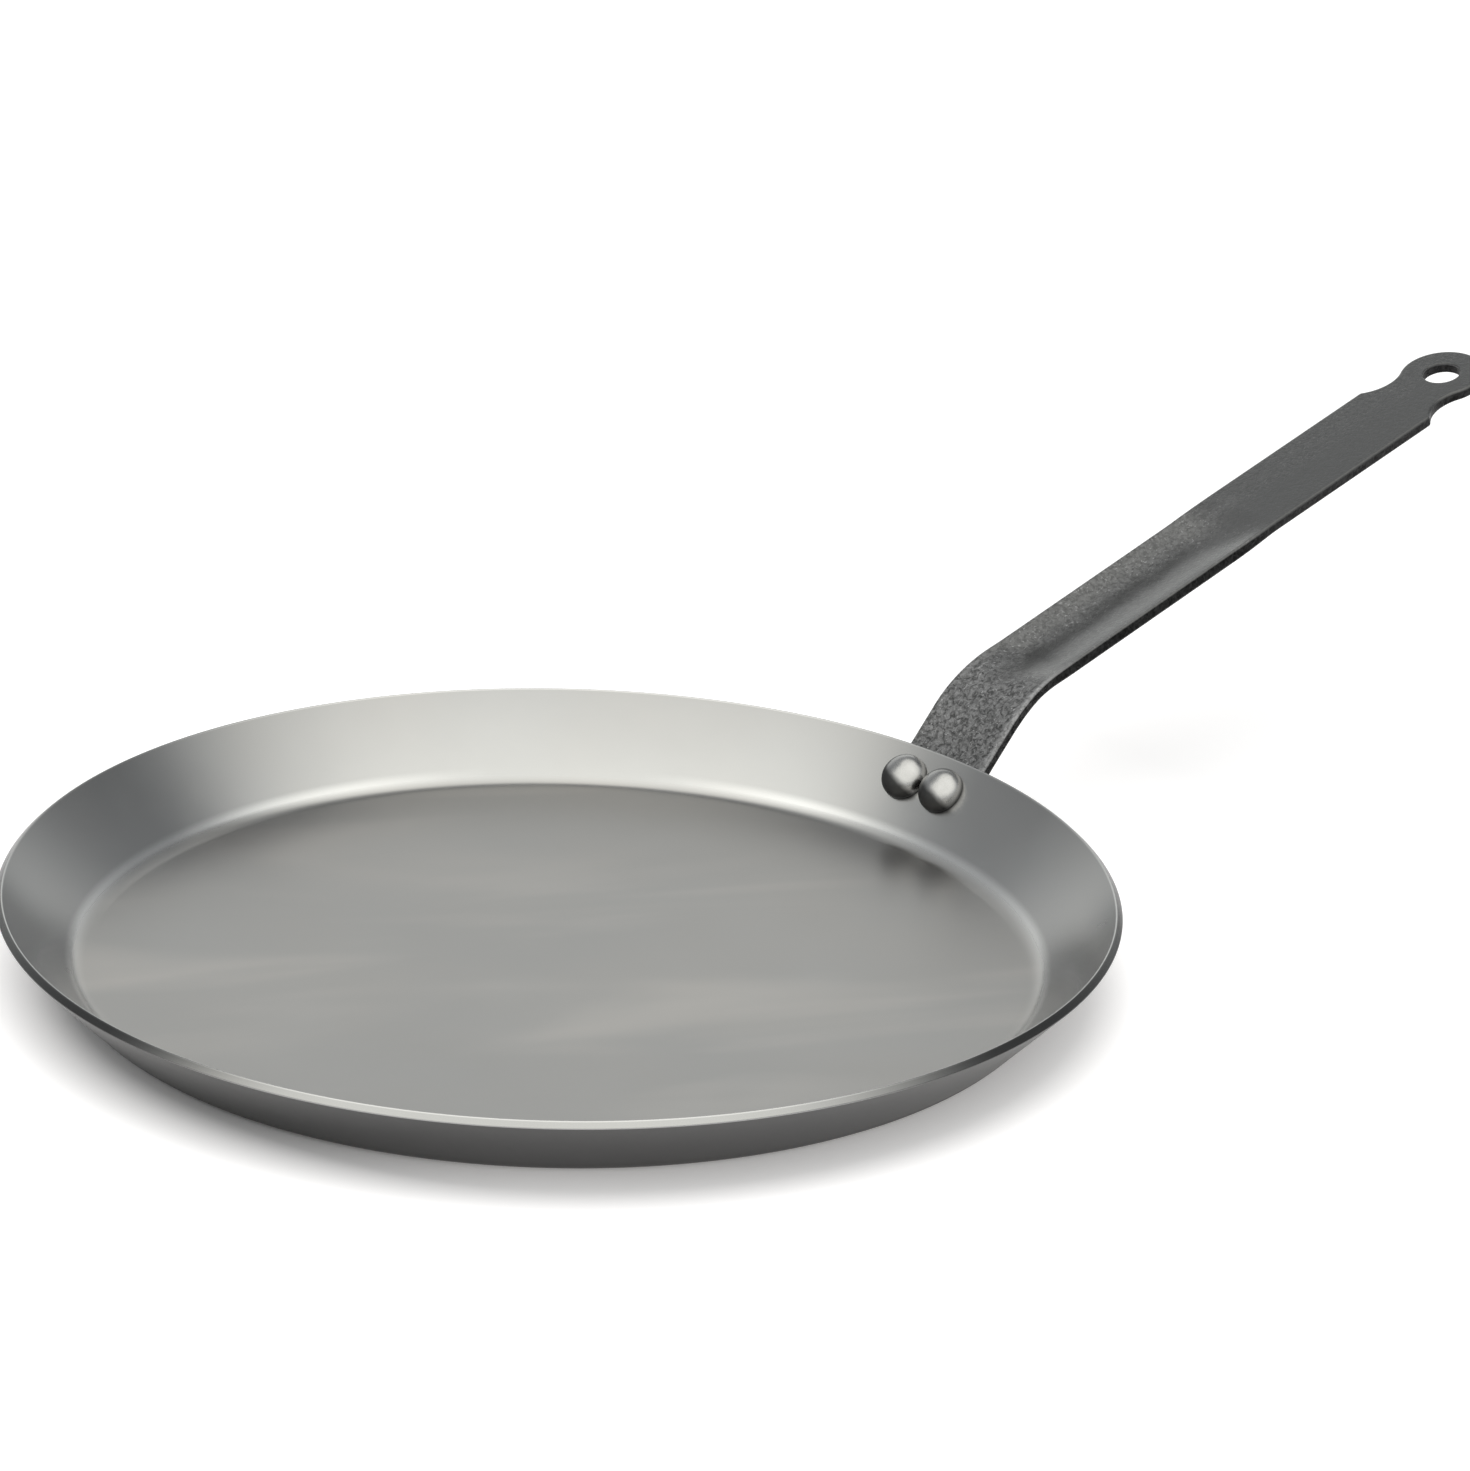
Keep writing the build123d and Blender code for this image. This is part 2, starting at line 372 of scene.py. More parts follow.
# Painted light on the inside wall: bright at the bend, dimmer towards the top
fromBend = placeZ.run(*steelLook["wallRun"], steelLook["bendTone"], steelLook["topTone"])
inTone = onBend.mix(steelLook["floorTone"], fromBend)
inTone = inTone * (1 + bendHighlight * steelLook["bendHighlight"] + topEdgeLift * steelLook["topEdgeLift"])
inTone = inTone * dimRim.run(0.0, 1.0, 1.0, steelLook["rimTone"])
# Painted dark reflection: the outside is dark steel, darker still low down
outTone = placeZ.run(*steelLook["outsideRun"]) * steelLook["outside"]
tone = tone * inside.mix(outTone, inTone) * steelLook["base"]
hue = steelLook["warm"] + (place.noise(*steelLook["hueNoise"]) - 0.5) * steelLook["hue"]
hue = hue + (streak * steelLook["streakHue"] + steelLook["floorWarm"]) * onFloor
rough = steelLook["rough"] + patch * steelLook["patchRough"]
rough = rough + (1 - inside) * steelLook["outRough"] + onFloor * steelLook["floorRough"]
at.put(shader["Base Color"], gray(at, tone, hue))
shader["Metallic"].default_value = 1.0
at.put(shader["Roughness"], rough)
at.put(shader["Normal"], bumped(at, patch, steelLook["bump"], steelLook["bumpDistance"]))

# Rivets: smoother steel, with painted shade where the head meets the wall and a painted shaded
# side low down
rivetLook = {
    "base": 0.39, "warm": 0.01, "rough": 0.27,
    "grainNoise": (1300.0, 3.0, 0.6), "grain": 0.10, "grainRough": 0.08,
    "smearNoise": (380.0, 2.0, 0.5), "smear": 0.3, "smearRough": 0.12,
    "paintedShade": 1.2 * mm, "paintedShadeTone": 0.25, "shadeRough": 0.2,
    "shadedSide": (-0.66, 0.38, -0.65), "shadedSideRun": (0.10, 0.36), "shadedSideSmear": 0.2, "shadedSideTone": 0.18,
    "bump": 0.12, "bumpDistance": 0.2 * mm, "smearBump": 2,
}
rivetSteel, at, shader = newMaterial("rivet_steel")
texture = at.outputs("ShaderNodeTexCoord")
place, facing = texture["Object"], texture["Normal"]
placeX, placeY, placeZ = place.parts()
radius = at.vector(placeX, placeY, 0.0).length()
# Painted shade where the head meets the wall
overWall = (placeZ - rimSize["height"]) * math.cos(rimSize["wall"])
overWall = overWall - (radius - rimSize["radius"]) * math.sin(rimSize["wall"]) - rimSize["sheet"]
paintedShade = overWall.run(0.0, rivetLook["paintedShade"], rivetLook["paintedShadeTone"], 1.0, ease=True)
grain = place.noise(*rivetLook["grainNoise"]) - 0.5
smear = place.noise(*rivetLook["smearNoise"]) - 0.5
# Painted shade on the lower, side-facing part of each head
shadedSide = facing.dot(rivetLook["shadedSide"]) + smear * rivetLook["shadedSideSmear"]
paintedShade = paintedShade * shadedSide.run(*rivetLook["shadedSideRun"], 1.0, rivetLook["shadedSideTone"], ease=True)
tone = rivetLook["base"] * (1 + grain * rivetLook["grain"] + smear * rivetLook["smear"]) * paintedShade
rough = rivetLook["rough"] + grain * rivetLook["grainRough"] + smear * rivetLook["smearRough"]
rough = rough + (1 - paintedShade) * rivetLook["shadeRough"]
at.put(shader["Base Color"], gray(at, tone, rivetLook["warm"]))
shader["Metallic"].default_value = 1.0
at.put(shader["Roughness"], rough)
height = grain + smear * rivetLook["smearBump"]
at.put(shader["Normal"], bumped(at, height, rivetLook["bump"], rivetLook["bumpDistance"]))

# Handle coat: charcoal crinkle enamel on the blank's own coordinates, coarse by the root and on
# the far half; painted light by the root, on the far half, at one edge and in one spot by the end;
# painted shade in the gutter and on the flat end; bare steel painted dark on the cut edge
coatLook = {
    "tone": 0.042, "darkest": 0.008, "rough": 0.46, "reliefRough": 0.10, "coatRough": 0.22,
    "crinkleNoise": (900.0, 2.5, 0.55, 0.8), "reliefRun": (0.36, 0.64, -1.0, 1.0), "relief": 0.80,
    "fineNoise": (2600.0, 2.0, 0.5), "fine": 0.9,
    "waverNoise": (130.0, 2.0), "waver": 12 * mm, "waverAcross": 0.5,
    "rootRun": (33 * mm, 46 * mm), "rootTone": 0.8,
    "farRun": (-2 * mm, 4 * mm, 0.20, 0.65), "farEnd": (104 * mm, 120 * mm, 1.0, 0.5),
    "farTone": 0.7,
    "speckNoise": (1300.0, 1.0), "speckRun": (0.60, 0.70), "speckTone": 0.28,
    "groupNoise": (260.0, 1.0), "groupRun": (0.44, 0.56),
    "valley": (45 * mm, 11 * mm, 6 * mm), "valleyRun": (0.0, 1.1, 0.45, 1.0),
    "gutterMiddle": 0.6 * mm, "gutterWide": 3.8 * mm, "gutterTone": 0.42,
    "gutterIn": (36 * mm, 48 * mm), "gutterOut": (94 * mm, 108 * mm, 1.0, 0.0),
    "endRun": (104 * mm, 122 * mm), "endTone": 0.45,
    "edgeHighlightRun": (-9.5 * mm, -10.3 * mm), "edgeHighlightEnd": (42 * mm, 52 * mm, 1.0, 0.0), "edgeHighlightTone": 0.15,
    "paintedLight": 0.55, "paintedLightIn": (12 * mm, 22 * mm), "paintedLightOut": (36 * mm, 46 * mm, 1.0, 0.0),
    "endHighlight": (117 * mm, 4 * mm), "endHighlightWide": 8 * mm, "endHighlightFlat": 2, "endHighlightTone": 0.8,
    "cutRun": (-0.30 * mm, -0.65 * mm), "edgeTone": 0.022, "edgeRelief": 0.5,
    "glossRun": (0.3, -0.8), "glossLoss": 0.4,
    "bump": 0.10, "coarseBump": 0.90, "bumpDistance": 1.1 * mm, "fineBump": 0.15, "speckBump": 0.3,
}
handleCoat, at, shader = newMaterial("handle_coat")
blank = at.node("ShaderNodeAttribute", {"attribute_name": "blank"}, out="Vector")
alongStrip, acrossStrip, depthStrip = blank.parts()

# Coarse crinkle by the root and on the far half, with a wavering limit
waver = (blank.noise(*coatLook["waverNoise"]) - 0.5) * coatLook["waver"]
alongSoft, acrossSoft = alongStrip + waver, acrossStrip + waver * coatLook["waverAcross"]
byRoot = alongSoft.run(*coatLook["rootRun"], 1.0, 0.0, ease=True)
farHalf = acrossSoft.run(*coatLook["farRun"], ease=True)
farHalf = farHalf * alongSoft.run(*coatLook["farEnd"], ease=True)
coarse = byRoot.mix(farHalf, 1.0)
cutEdge = depthStrip.run(*coatLook["cutRun"], ease=True)
crinkle = blank.noise(*coatLook["crinkleNoise"])
fine = blank.noise(*coatLook["fineNoise"])
relief = crinkle.run(*coatLook["reliefRun"])
speck = blank.noise(*coatLook["speckNoise"]).run(*coatLook["speckRun"])
speck = speck * blank.noise(*coatLook["groupNoise"]).run(*coatLook["groupRun"]) * coarse

# Painted shade: the hollow of the bend, the gutter's bottom and the flat end
valleyAt, valleyLong, valleyWide = coatLook["valley"]
valley = abs((alongSoft - valleyAt) / valleyLong).most(abs(acrossSoft / valleyWide))
valley = valley.run(*coatLook["valleyRun"], ease=True)
gutter = abs((acrossSoft - coatLook["gutterMiddle"]) / coatLook["gutterWide"])
gutter = gutter.run(0.0, 1.0, 1.0, 0.0, ease=True)
gutter = gutter * alongSoft.run(*coatLook["gutterOut"]) * alongSoft.run(*coatLook["gutterIn"])
valley = valley * gutter.run(0.0, 1.0, 1.0, coatLook["gutterTone"])
atEnd = alongStrip.run(*coatLook["endRun"], 1.0, coatLook["endTone"], ease=True)

# Painted light: a highlight on one edge by the bend, light over the rise, one highlight by the
# end, and the root and far half lighter
# Painted highlight along one edge by the bend
edgeHighlight = acrossStrip.run(*coatLook["edgeHighlightRun"], ease=True) * alongStrip.run(*coatLook["edgeHighlightEnd"])
# Painted light over the rise of the bend
paintedLight = alongSoft.run(*coatLook["paintedLightIn"], ease=True)
paintedLight = paintedLight * alongSoft.run(*coatLook["paintedLightOut"], ease=True)
# Painted highlight in one spot by the end
endHighlightAlong, endHighlightAcross = coatLook["endHighlight"]
endHighlightSide = (acrossSoft - endHighlightAcross) * coatLook["endHighlightFlat"]
endHighlight = at.vector(alongSoft - endHighlightAlong, endHighlightSide, 0.0).length()
endHighlight = endHighlight.run(0.0, coatLook["endHighlightWide"], coatLook["endHighlightTone"], 0.0, ease=True)
# Painted light, summed: over the rise, the spot by the end, the root and the far half
paintedLight = paintedLight * coatLook["paintedLight"] + endHighlight + byRoot * coatLook["rootTone"]
paintedLight = paintedLight + farHalf * coatLook["farTone"]

# Tone of the coat, bare steel painted near black on the cut edge, and less gloss in the crinkle's
# hollows
tone = 1 + relief * coarse * coatLook["relief"] + (fine - 0.5) * coatLook["fine"]
tone = coatLook["tone"] * (1 + paintedLight) * tone + speck * coatLook["speckTone"]
tone = tone * valley * atEnd + edgeHighlight * coatLook["edgeHighlightTone"]
tone = cutEdge.mix(tone, coatLook["edgeTone"] * (1 + relief * coatLook["edgeRelief"]))
matted = coarse * relief.run(*coatLook["glossRun"]) * coatLook["glossLoss"]
at.put(shader["Base Color"], gray(at, tone.most(coatLook["darkest"])))
at.put(shader["Roughness"], coatLook["rough"] - coatLook["reliefRough"] * relief * coarse)
at.put(shader["Metallic"], cutEdge)
shader["Coat Roughness"].default_value = coatLook["coatRough"]
at.put(shader["Coat Weight"], (1.0 - cutEdge) * (1.0 - matted) * valley)
height = crinkle + fine * coatLook["fineBump"] + speck * coatLook["speckBump"]
strength = coatLook["bump"] + coarse * coatLook["coarseBump"]
at.put(shader["Normal"], bumped(at, height, strength, coatLook["bumpDistance"]))

# Floor: pale board that keeps the soft shadow round the pan and goes to white outside it; the
# shadow is partly painted, by a glow seen only by camera and mirror rays that rises outward from
# the pan
boardLook = {
    "tone": 0.9, "toneNoise": 60.0, "mottle": 0.004,
    "rough": 0.8, "roughNoise": 30.0, "roughMottle": 0.05,
    "near": 0.24, "nearRun": (105.5 * mm, 113 * mm), "warm": 0.02,
    "far": 0.27, "farRun": (113 * mm, 126 * mm),
    "right": (0.70, -0.714, 0.0), "sideRun": (-0.75, 0.05), "sideFrom": 50 * mm,
    "fadeRun": (135 * mm, 185 * mm), "rest": 0.52,
    "half": 3, "below": 0.2 * mm,
}
boardPaintedShadow, at, shader = newMaterial("board_painted_shadow")
place = at.node("ShaderNodeTexCoord", out="Object")
mottle = (place.noise(boardLook["toneNoise"]) - 0.5) * boardLook["mottle"]
roughMottle = (place.noise(boardLook["roughNoise"]) - 0.5) * boardLook["roughMottle"]
at.put(shader["Base Color"], gray(at, boardLook["tone"] + mottle))
at.put(shader["Roughness"], boardLook["rough"] + roughMottle)
shader["Specular IOR Level"].default_value = 0.0
rays = at.outputs("ShaderNodeLightPath")
seen = rays["Is Camera Ray"].most(rays["Is Glossy Ray"]).most(rays["Is Transmission Ray"])
# Painted shadow: the glow is least next to the pan, rises outward, and is fuller on the right side
away = place.length()
toSide = place.dot(boardLook["right"]) / away.most(boardLook["sideFrom"])
toSide = toSide.run(*boardLook["sideRun"], ease=True)
lift = away.run(*boardLook["nearRun"]).most(toSide) * boardLook["near"]
lift = lift + away.run(*boardLook["farRun"]) * boardLook["far"]
lift = lift * away.run(*boardLook["fadeRun"], 1.0, boardLook["rest"])
at.put(shader["Emission Color"], gray(at, seen * lift, boardLook["warm"]))
shader["Emission Strength"].default_value = 1.0
board = newPiece("board")
half, below = boardLook["half"], boardLook["below"]
square = [(x * half, y * half, -below) for x, y in ((-1, -1), (1, -1), (1, 1), (-1, 1))]
board.data.from_pydata(square, [], [(0, 1, 2, 3)])
board.data.materials.append(boardPaintedShadow)
print("finishes and board")

# Pan, turned in one go: floor, bend, flared wall, and a rim cut square to the sheet. The guard
# corners keep the flat faces flat up to each rounding
panSize = {
    "Rim Radius": rimSize["radius"], "Rim Height": rimSize["height"], "Sheet": rimSize["sheet"],
    "Wall": rimSize["wall"], "Bend": 5.0 * mm, "Rim Round": 0.3 * mm, "Rim Trim": 0.34 * mm,
    "Guard": 0.4 * mm, "Segments": 256, "Fillet Steps": 10, "Steel": panSteel,
}
tree, given = geometryTree("turnedPan", panSize)
rim, high, sheet, wall = (given[k] for k in ("Rim Radius", "Rim Height", "Sheet", "Wall"))
bend, guard, edge = given["Bend"], given["Guard"], given["Rim Round"]
outX, outZ = wall.cos(), wall.sin()
baseCorner = rim - high / wall.tan()
floorCorner = baseCorner - sheet * (wall / 2).tan()
inReach = bend * (wall / 2).tan() + guard
outReach = (bend + sheet) * (wall / 2).tan() + guard
edgeX = rim - outX * given["Rim Trim"]
edgeZ = high - outZ * given["Rim Trim"]
rimX = edgeX - sheet * outZ
rimZ = edgeZ + sheet * outX
rimReach = edge + guard
section = [
    (0.0, sheet, 0.0),
    (floorCorner - inReach, sheet, 0.0),
    (floorCorner, sheet, bend),
    (floorCorner + outX * inReach, sheet + outZ * inReach, 0.0),
    (rimX - outX * rimReach, rimZ - outZ * rimReach, 0.0),
    (rimX, rimZ, edge),
    (edgeX, edgeZ, edge),
    (edgeX - outX * rimReach, edgeZ - outZ * rimReach, 0.0),
    (baseCorner + outX * outReach, outZ * outReach, 0.0),
    (baseCorner, 0.0, bend + sheet),
    (baseCorner - outReach, 0.0, 0.0),
    (0.0, 0.0, 0.0),
]
panMesh = turned(rim, section, rim, given["Segments"], given["Fillet Steps"])
closeTree(tree, panMesh, given["Steel"])
pan = newPiece("pan")
runTree(pan, tree, panSize)
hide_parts("pan_body")
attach(pan, "root")
print("pan", len(pan.data.polygons))

# Rivet pair: domed head in the pan, shank, small set head behind the strip; both heads sink a
# little into what they clamp
rivetSize = {
    "Head Radius": 5.2 * mm, "Head Height": 4.4 * mm, "Lip": 0.6 * mm, "Shank Radius": 2.5 * mm,
    "Set Radius": 4.5 * mm, "Set Height": 1.5 * mm, "Set Round": 0.5 * mm, "Sink": 0.25 * mm,
    "Sheet": rimSize["sheet"], "Strip": 2.52 * mm, "Wall": rimSize["wall"],
    "Spacing": 11.2 * mm, "Below Rim": 8.4 * mm, "Rim Radius": rimSize["radius"],
    "Rim Height": rimSize["height"], "Segments": 64, "Fillet Steps": 4, "Steel": rivetSteel,
}
domeSteps = 10
tree, given = geometryTree("rivetPair", rivetSize)
head, headHigh, lip, sink = (given[k] for k in ("Head Radius", "Head Height", "Lip", "Sink"))
shank, setRadius, setHigh = given["Shank Radius"], given["Set Radius"], given["Set Height"]
sheet, strip, wall = given["Sheet"], given["Strip"], given["Wall"]
domeHigh = headHigh - lip
section = [(0.0, sheet + headHigh, 0.0)]
for step in range(1, domeSteps + 1):
    angle = math.pi / 2 * (1 - step / domeSteps)
    section.append((head * math.cos(angle), sheet + lip + domeHigh * math.sin(angle), 0.0))
section += [
    (head, sheet - sink, 0.0),
    (shank, sheet - sink, 0.0),
    (shank, sink - strip, 0.0),
    (setRadius, sink - strip, 0.0),
    (setRadius, -strip - setHigh, given["Set Round"]),
    (0.0, -strip - setHigh, 0.0),
]
rivet = turned(head, section, head, given["Segments"], given["Fillet Steps"])
side = head.node("GeometryNodeInputIndex") * 2 - 1
reach = given["Rim Radius"] - wall.cos() * given["Below Rim"]
lift = given["Rim Height"] - wall.sin() * given["Below Rim"]
swing = (given["Spacing"] / 2 / reach).arcsin() * side
line = head.node("GeometryNodeMeshLine", values={"Count": 2})
spot = head.vector(reach * swing.cos(), reach * swing.sin(), lift)
spots = head.node("GeometryNodeSetPosition", values={"Geometry": line, "Position": spot})
tilt = head.vector(0.0, -wall, swing)
tiltTurn = head.node("FunctionNodeEulerToRotation", values={"Euler": tilt})
copies = {"Points": spots, "Instance": rivet, "Rotation": tiltTurn}
pair = head.node("GeometryNodeInstanceOnPoints", values=copies)
closeTree(tree, pair, given["Steel"])
rivets = newPiece("rivetPair")
runTree(rivets, tree, rivetSize)
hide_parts("rivet_left", "rivet_right")
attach(rivets, "root")
print("rivets", len(rivets.data.polygons))

# Handle: a flat blank is cut first, in millimetres, then a tree presses the gutter and the bend
handleSize = {
    "strip": 2.5, "rootWidth": 22.2, "gripWidth": 21.0, "rootCorner": 5.0, "edge": 0.6,
    "guard": 0.15, "edgeSteps": 5, "belowEdge": 0.25, "eyeEdge": 0.25, "eyeFrom": 68.3,
    "eyeRadius": 9.7, "eyeHole": 4.3, "neckHalf": 7.6, "neckRadius": 10.5, "shoulderRound": 0.8,
    "rootStep": 0.5, "arcStep": 0.35, "shoulderStep": 0.12, "holeStep": 0.4,
    "grid": 1.0, "rowShare": 0.95, "nearColumn": 0.8, "clearEdge": 0.55, "clearHole": 0.5,
    "rootBelow": 14.8, "film": 0.02, "bendAbove": 19.95, "bendRadius": 35.0,
    "grip": rad(13.9), "end": rad(13.5), "gripLength": 83.0,
    "gutterLead": 8.0, "gutterDepth": 2.2, "runIn": 13.0, "runOut": 16.0,
}
bendTurn = rimSize["wall"] - handleSize["grip"]
trim = handleSize["bendRadius"] * math.tan(bendTurn / 2)
handleSize["bendFrom"] = handleSize["rootBelow"] + handleSize["bendAbove"] - trim
handleSize["bendTo"] = handleSize["bendFrom"] + handleSize["bendRadius"] * bendTurn
handleSize["gripTo"] = handleSize["bendTo"] + handleSize["gripLength"] - trim


def easeRun(value, low, high):
    share = min(1.0, max(0.0, (value - low) / (high - low)))
    return share * share * (3 - 2 * share)


def arc(centre, radius, start, end, longest):
    count = max(3, int(abs(end - start) * radius / longest))
    angles = [start + (end - start) * i / count for i in range(count + 1)]
    return [(centre[0] + radius * math.cos(a), centre[1] + radius * math.sin(a)) for a in angles]


# Upper half of the blank's outline, from the root end to the tip of the eye
def halfOutline(s):
    rootHalf, gripHalf, corner = s["rootWidth"] / 2, s["gripWidth"] / 2, s["rootCorner"]
    rootCount = int((rootHalf - corner) / s["rootStep"])
    points = [(0.0, i * s["rootStep"]) for i in range(rootCount + 1)]
    points += arc((corner, rootHalf - corner), corner, math.pi, math.pi / 2, s["arcStep"])
    eyeX = s["gripTo"] + s["eyeFrom"]
    neckY = s["neckHalf"] + s["neckRadius"]
    reach = s["eyeRadius"] + s["neckRadius"]
    neckX = eyeX - math.sqrt(reach ** 2 - neckY ** 2)
    roundY = gripHalf - s["shoulderRound"]
    reach = s["neckRadius"] + s["shoulderRound"]
    roundX = neckX - math.sqrt(reach ** 2 - (neckY - roundY) ** 2)
    count = int(roundX - corner)
    for i in range(1, count):
        x = corner + (roundX - corner) * i / count
        narrowed = easeRun(x, s["bendFrom"], s["bendTo"])
        points.append((x, rootHalf + (gripHalf - rootHalf) * narrowed))
    toNeck = math.atan2(neckY - roundY, neckX - roundX)
    toEye = math.atan2(-neckY, eyeX - neckX)
    fromNeck, fromEye = toNeck + math.pi, toEye + math.pi
    points += arc((roundX, roundY), s["shoulderRound"], math.pi / 2, toNeck, s["shoulderStep"])
    points += arc((neckX, neckY), s["neckRadius"], fromNeck, toEye + 2 * math.pi, s["arcStep"])[1:]
    points += arc((eyeX, 0), s["eyeRadius"], fromEye, 0, s["arcStep"])[1:]
    return points


# The whole blank: two rings of walls, one round the outline and one round the eye's hole, and
# two faces of small triangles between them
def cutBlank(s):
    half = halfOutline(s)
    loop = half + [(x, -y) for x, y in reversed(half[1:-1])]
    count = len(loop)
    outward = []
    for i in range(count):
        before, after = loop[i - 1], loop[(i + 1) % count]
        along = Vector((after[0] - before[0], after[1] - before[1])).normalized()
        outward.append((-along.y, along.x))
    eyeX = s["gripTo"] + s["eyeFrom"]
    holeRing = s["eyeHole"] + s["eyeEdge"] + s["guard"]
    hole = arc((eyeX, 0.0), s["eyeHole"], 0, 2 * math.pi, s["holeStep"])[:-1]
    holeOut = [((eyeX - x) / s["eyeHole"], -y / s["eyeHole"]) for x, y in hole]
    verts, faces = [], []

    # Rings down one wall: rounded at both faces, with guard rings beside the rounding
    def wallRings(points, normals, edge):
        steps = s["edgeSteps"]
        angles = [rad(90 * k / steps) for k in range(steps + 1)]
        profile = [(edge + s["guard"], 0.0)]
        profile += [(edge * (1 - math.sin(a)), edge * (1 - math.cos(a))) for a in angles]
        profile += [(0.0, edge + s["belowEdge"]), (0.0, s["strip"] / 2)]
        profile += [(inset, s["strip"] - depth) for inset, depth in reversed(profile[:-1])]
        first = len(verts)
        for inset, depth in profile:
            for (x, y), (nx, ny) in zip(points, normals):
                verts.append((x - nx * inset, y - ny * inset, -depth))
        size = len(points)
        for ring in range(len(profile) - 1):
            for i in range(size):
                a = first + ring * size + i
                b = first + ring * size + (i + 1) % size
                faces.append((a, b, b + size, a + size))
        return range(first, first + size), range(len(verts) - size, len(verts))

    outTop, outBottom = wallRings(loop, outward, s["edge"])
    eyeTop, eyeBottom = wallRings(hole, holeOut, s["eyeEdge"])

    # Points between the two rings, so that the faces can bend
    columns = int(eyeX / s["grid"])
    rows = int(s["rootWidth"] / s["grid"])
    ring = [Vector(verts[i]).to_2d() for i in outTop]
    inner = []
    for column in range(1, columns + int(s["eyeRadius"])):
        x = column * s["grid"]
        near = [abs(p.y) for p in ring if abs(p.x - x) < s["nearColumn"]]
        if not near:
            continue
        limit = min(near) - s["clearEdge"]
        for row in range(-rows, rows + 1):
            y = row * s["grid"] * s["rowShare"]
            if abs(y) < limit and math.hypot(x - eyeX, y) > holeRing + s["clearHole"]:
                inner.append((x, y))
    for top, bottom, depth in ((outTop, eyeTop, 0.0), (outBottom, eyeBottom, s["strip"])):
        ids = list(top) + list(bottom)
        flat = [Vector(verts[i]).to_2d() for i in ids] + [Vector(p) for p in inner]
        edges = []
        for start, size in ((0, len(top)), (len(top), len(bottom))):
            edges += [(start + i, start + (i + 1) % size) for i in range(size)]
        first = len(verts)
        verts.extend((x, y, -depth) for x, y in inner)
        ids += range(first, len(verts))
        made = delaunay_2d_cdt(flat, edges, [], 1, 1e-6)
        for face in made[2]:
            corners = [made[0][i] for i in face]
            middle = sum(corners, Vector((0, 0))) / len(corners)
            if math.hypot(middle.x - eyeX, middle.y) < holeRing:
                continue
            named = [ids[made[3][i][0]] for i in face]
            faces.append(named if depth == 0.0 else named[::-1])
    return verts, faces


verts, faces = cutBlank(handleSize)
mesh = bpy.data.meshes.new("handle")
mesh.from_pydata([(x * mm, y * mm, z * mm) for x, y, z in verts], [], faces)
handle = newPiece("stripHandle", mesh)
blankPlace = mesh.attributes.new("blank", "FLOAT_VECTOR", "POINT")
for spot, vertex in zip(blankPlace.data, mesh.vertices):
    spot.vector = vertex.co

# The root is dished to the round wall that it is riveted to, a thin film away from it
sine, cosine = math.sin(rimSize["wall"]), math.cos(rimSize["wall"])
film, rootBelow, bendFrom = (handleSize[k] * mm for k in ("film", "rootBelow", "bendFrom"))
rootX = rimSize["radius"] + film * sine - rootBelow * cosine
rootZ = rimSize["height"] - film * cosine - rootBelow * sine
seat = (handleSize["rootWidth"] * mm) ** 2 * sine / 8
pressSize = {
    "Wall": rimSize["wall"], "Grip": handleSize["grip"], "End": handleSize["end"],
    "Bend From": bendFrom, "Bend To": handleSize["bendTo"] * mm,
    "Bend Radius": handleSize["bendRadius"] * mm, "Grip To": handleSize["gripTo"] * mm,
    "Root X": rootX, "Root Z": rootZ,
    "Root Dish": seat / rootX, "Edge Rise": seat / (rootX + bendFrom * cosine),
    "Gutter Depth": handleSize["gutterDepth"] * mm,
    "Gutter From": (handleSize["bendTo"] - handleSize["gutterLead"]) * mm,
    "Run In": handleSize["runIn"] * mm, "Run Out": handleSize["runOut"] * mm,
    "Root Width": handleSize["rootWidth"] * mm, "Grip Width": handleSize["gripWidth"] * mm,
    "Least Curl": 1e-4, "Coat": handleCoat,
}
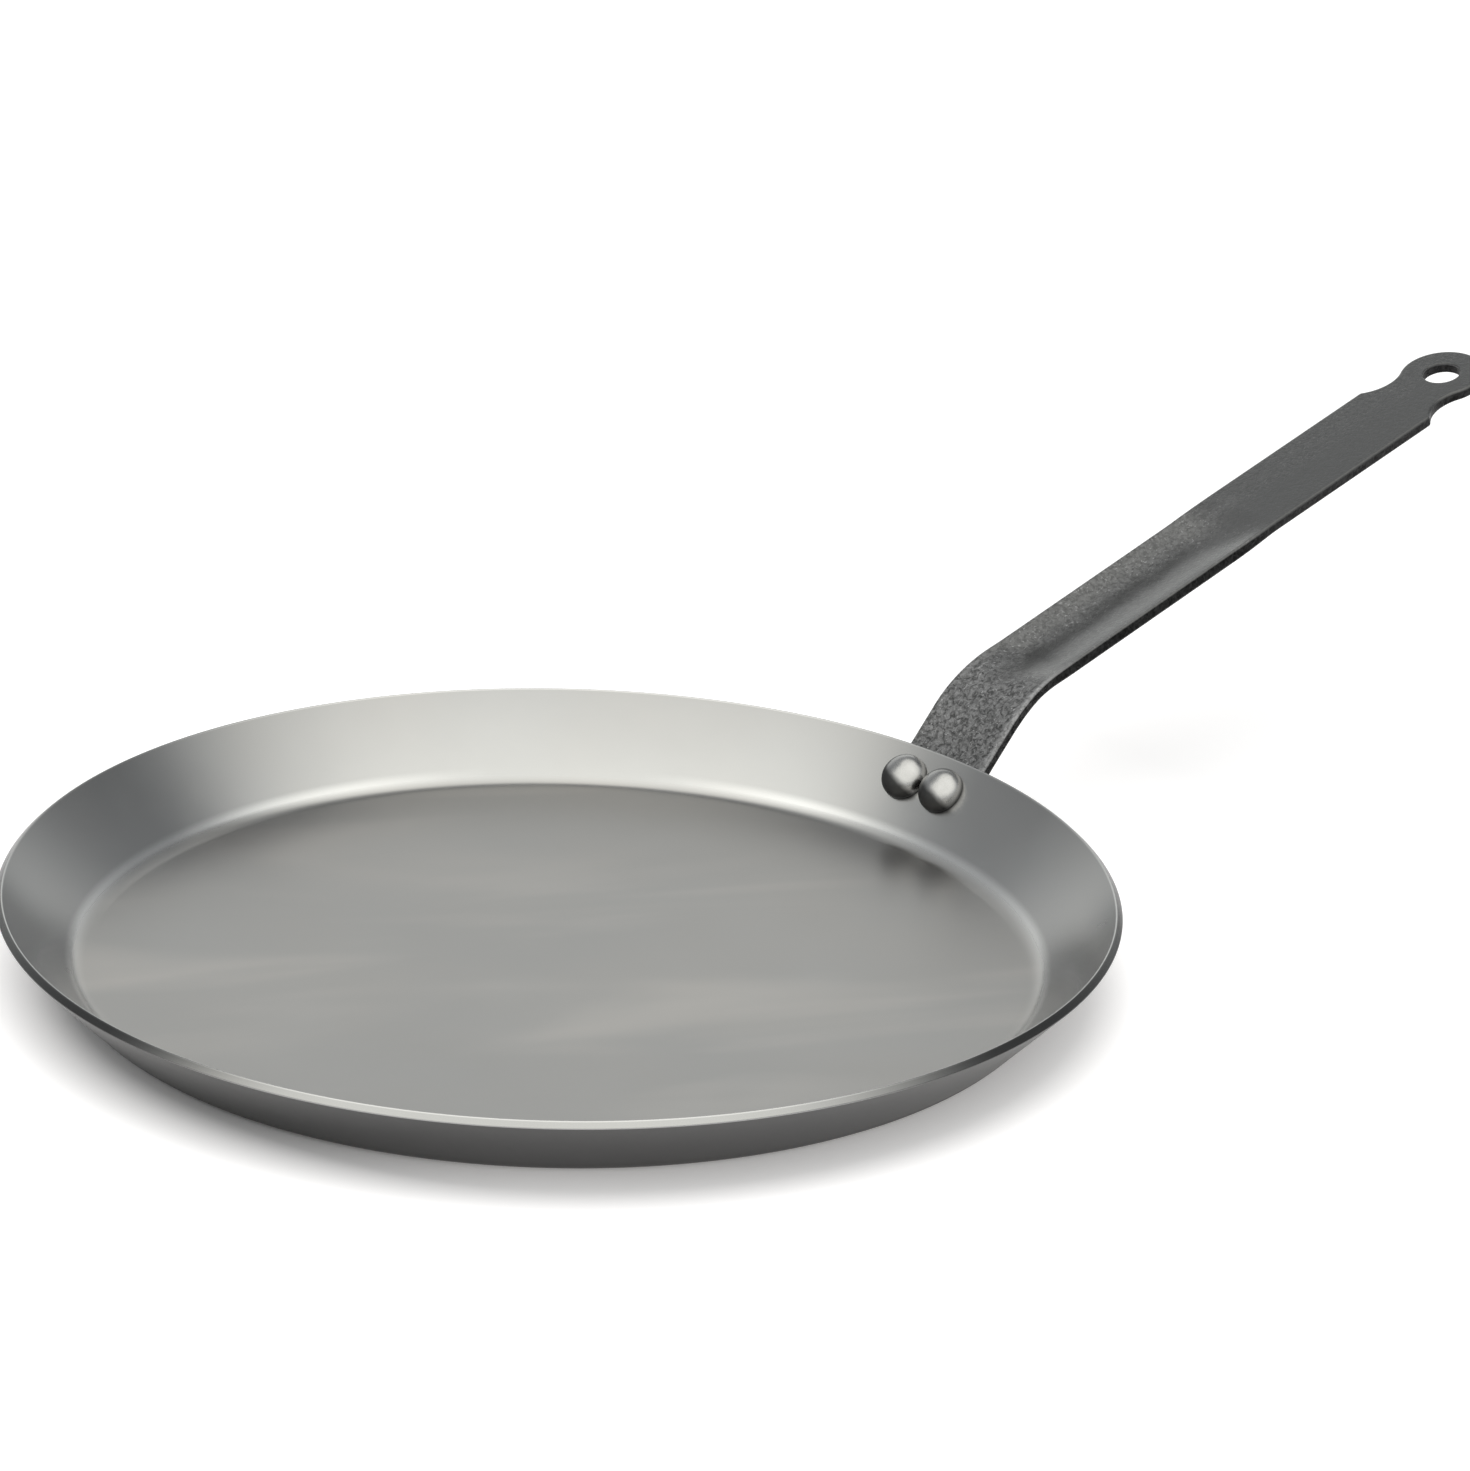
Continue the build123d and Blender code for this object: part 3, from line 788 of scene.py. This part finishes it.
tree, given = geometryTree("pressedStrip", pressSize)
wall, grip, end = given["Wall"], given["Grip"], given["End"]
bendFrom, bendTo, gripTo = given["Bend From"], given["Bend To"], given["Grip To"]
along, across, height = wall.node("GeometryNodeInputPosition").parts()

# The strip's spine: up the wall, round the bend, along the grip and over the slight end fold
angle = along.run(bendFrom, bendTo, wall, grip)
endPart = along.calc("GREATER_THAN", along, gripTo)
lean = angle + endPart * (end - grip)
onWall, bendRadius = along.least(bendFrom), given["Bend Radius"]
onGrip = (along.least(gripTo) - bendTo).most(0.0)
onEnd = (along - gripTo).most(0.0)
spineX = given["Root X"] + wall.cos() * onWall + bendRadius * (wall.sin() - angle.sin())
spineX = spineX + grip.cos() * onGrip + end.cos() * onEnd
spineZ = given["Root Z"] + wall.sin() * onWall + bendRadius * (angle.cos() - wall.cos())
spineZ = spineZ + grip.sin() * onGrip + end.sin() * onEnd

# Across the spine the strip curls to an arc: shallow at the seat, deep in the gutter, then flat
seatDish = along.run(0.0, bendFrom, given["Root Dish"], given["Edge Rise"])
pressed = along.run(given["Gutter From"], given["Gutter From"] + given["Run In"], ease=True)
flattened = along.run(gripTo - given["Run Out"], gripTo, ease=True)
narrowing = along.run(bendFrom, bendTo, ease=True)
width = given["Root Width"] + (given["Grip Width"] - given["Root Width"]) * narrowing
dish = (seatDish + (given["Gutter Depth"] - given["Edge Rise"]) * pressed) * (1 - flattened)
curl = (dish * 8 / (width * width)).most(given["Least Curl"])
sweep = across * curl
halfSweep = (sweep / 2).sin()
sideways = sweep.sin() / curl - height * sweep.sin()
rise = seatDish - dish + halfSweep * halfSweep * 2 / curl + height * sweep.cos()
place = wall.vector(spineX - lean.sin() * rise, sideways, spineZ + lean.cos() * rise)
moved = {"Geometry": given["Mesh"], "Position": place}
pressedMesh = wall.node("GeometryNodeSetPosition", values=moved)
closeTree(tree, pressedMesh, given["Coat"])
runTree(handle, tree, pressSize)
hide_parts("handle")
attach(handle, "root")
print("handle", len(handle.data.polygons))
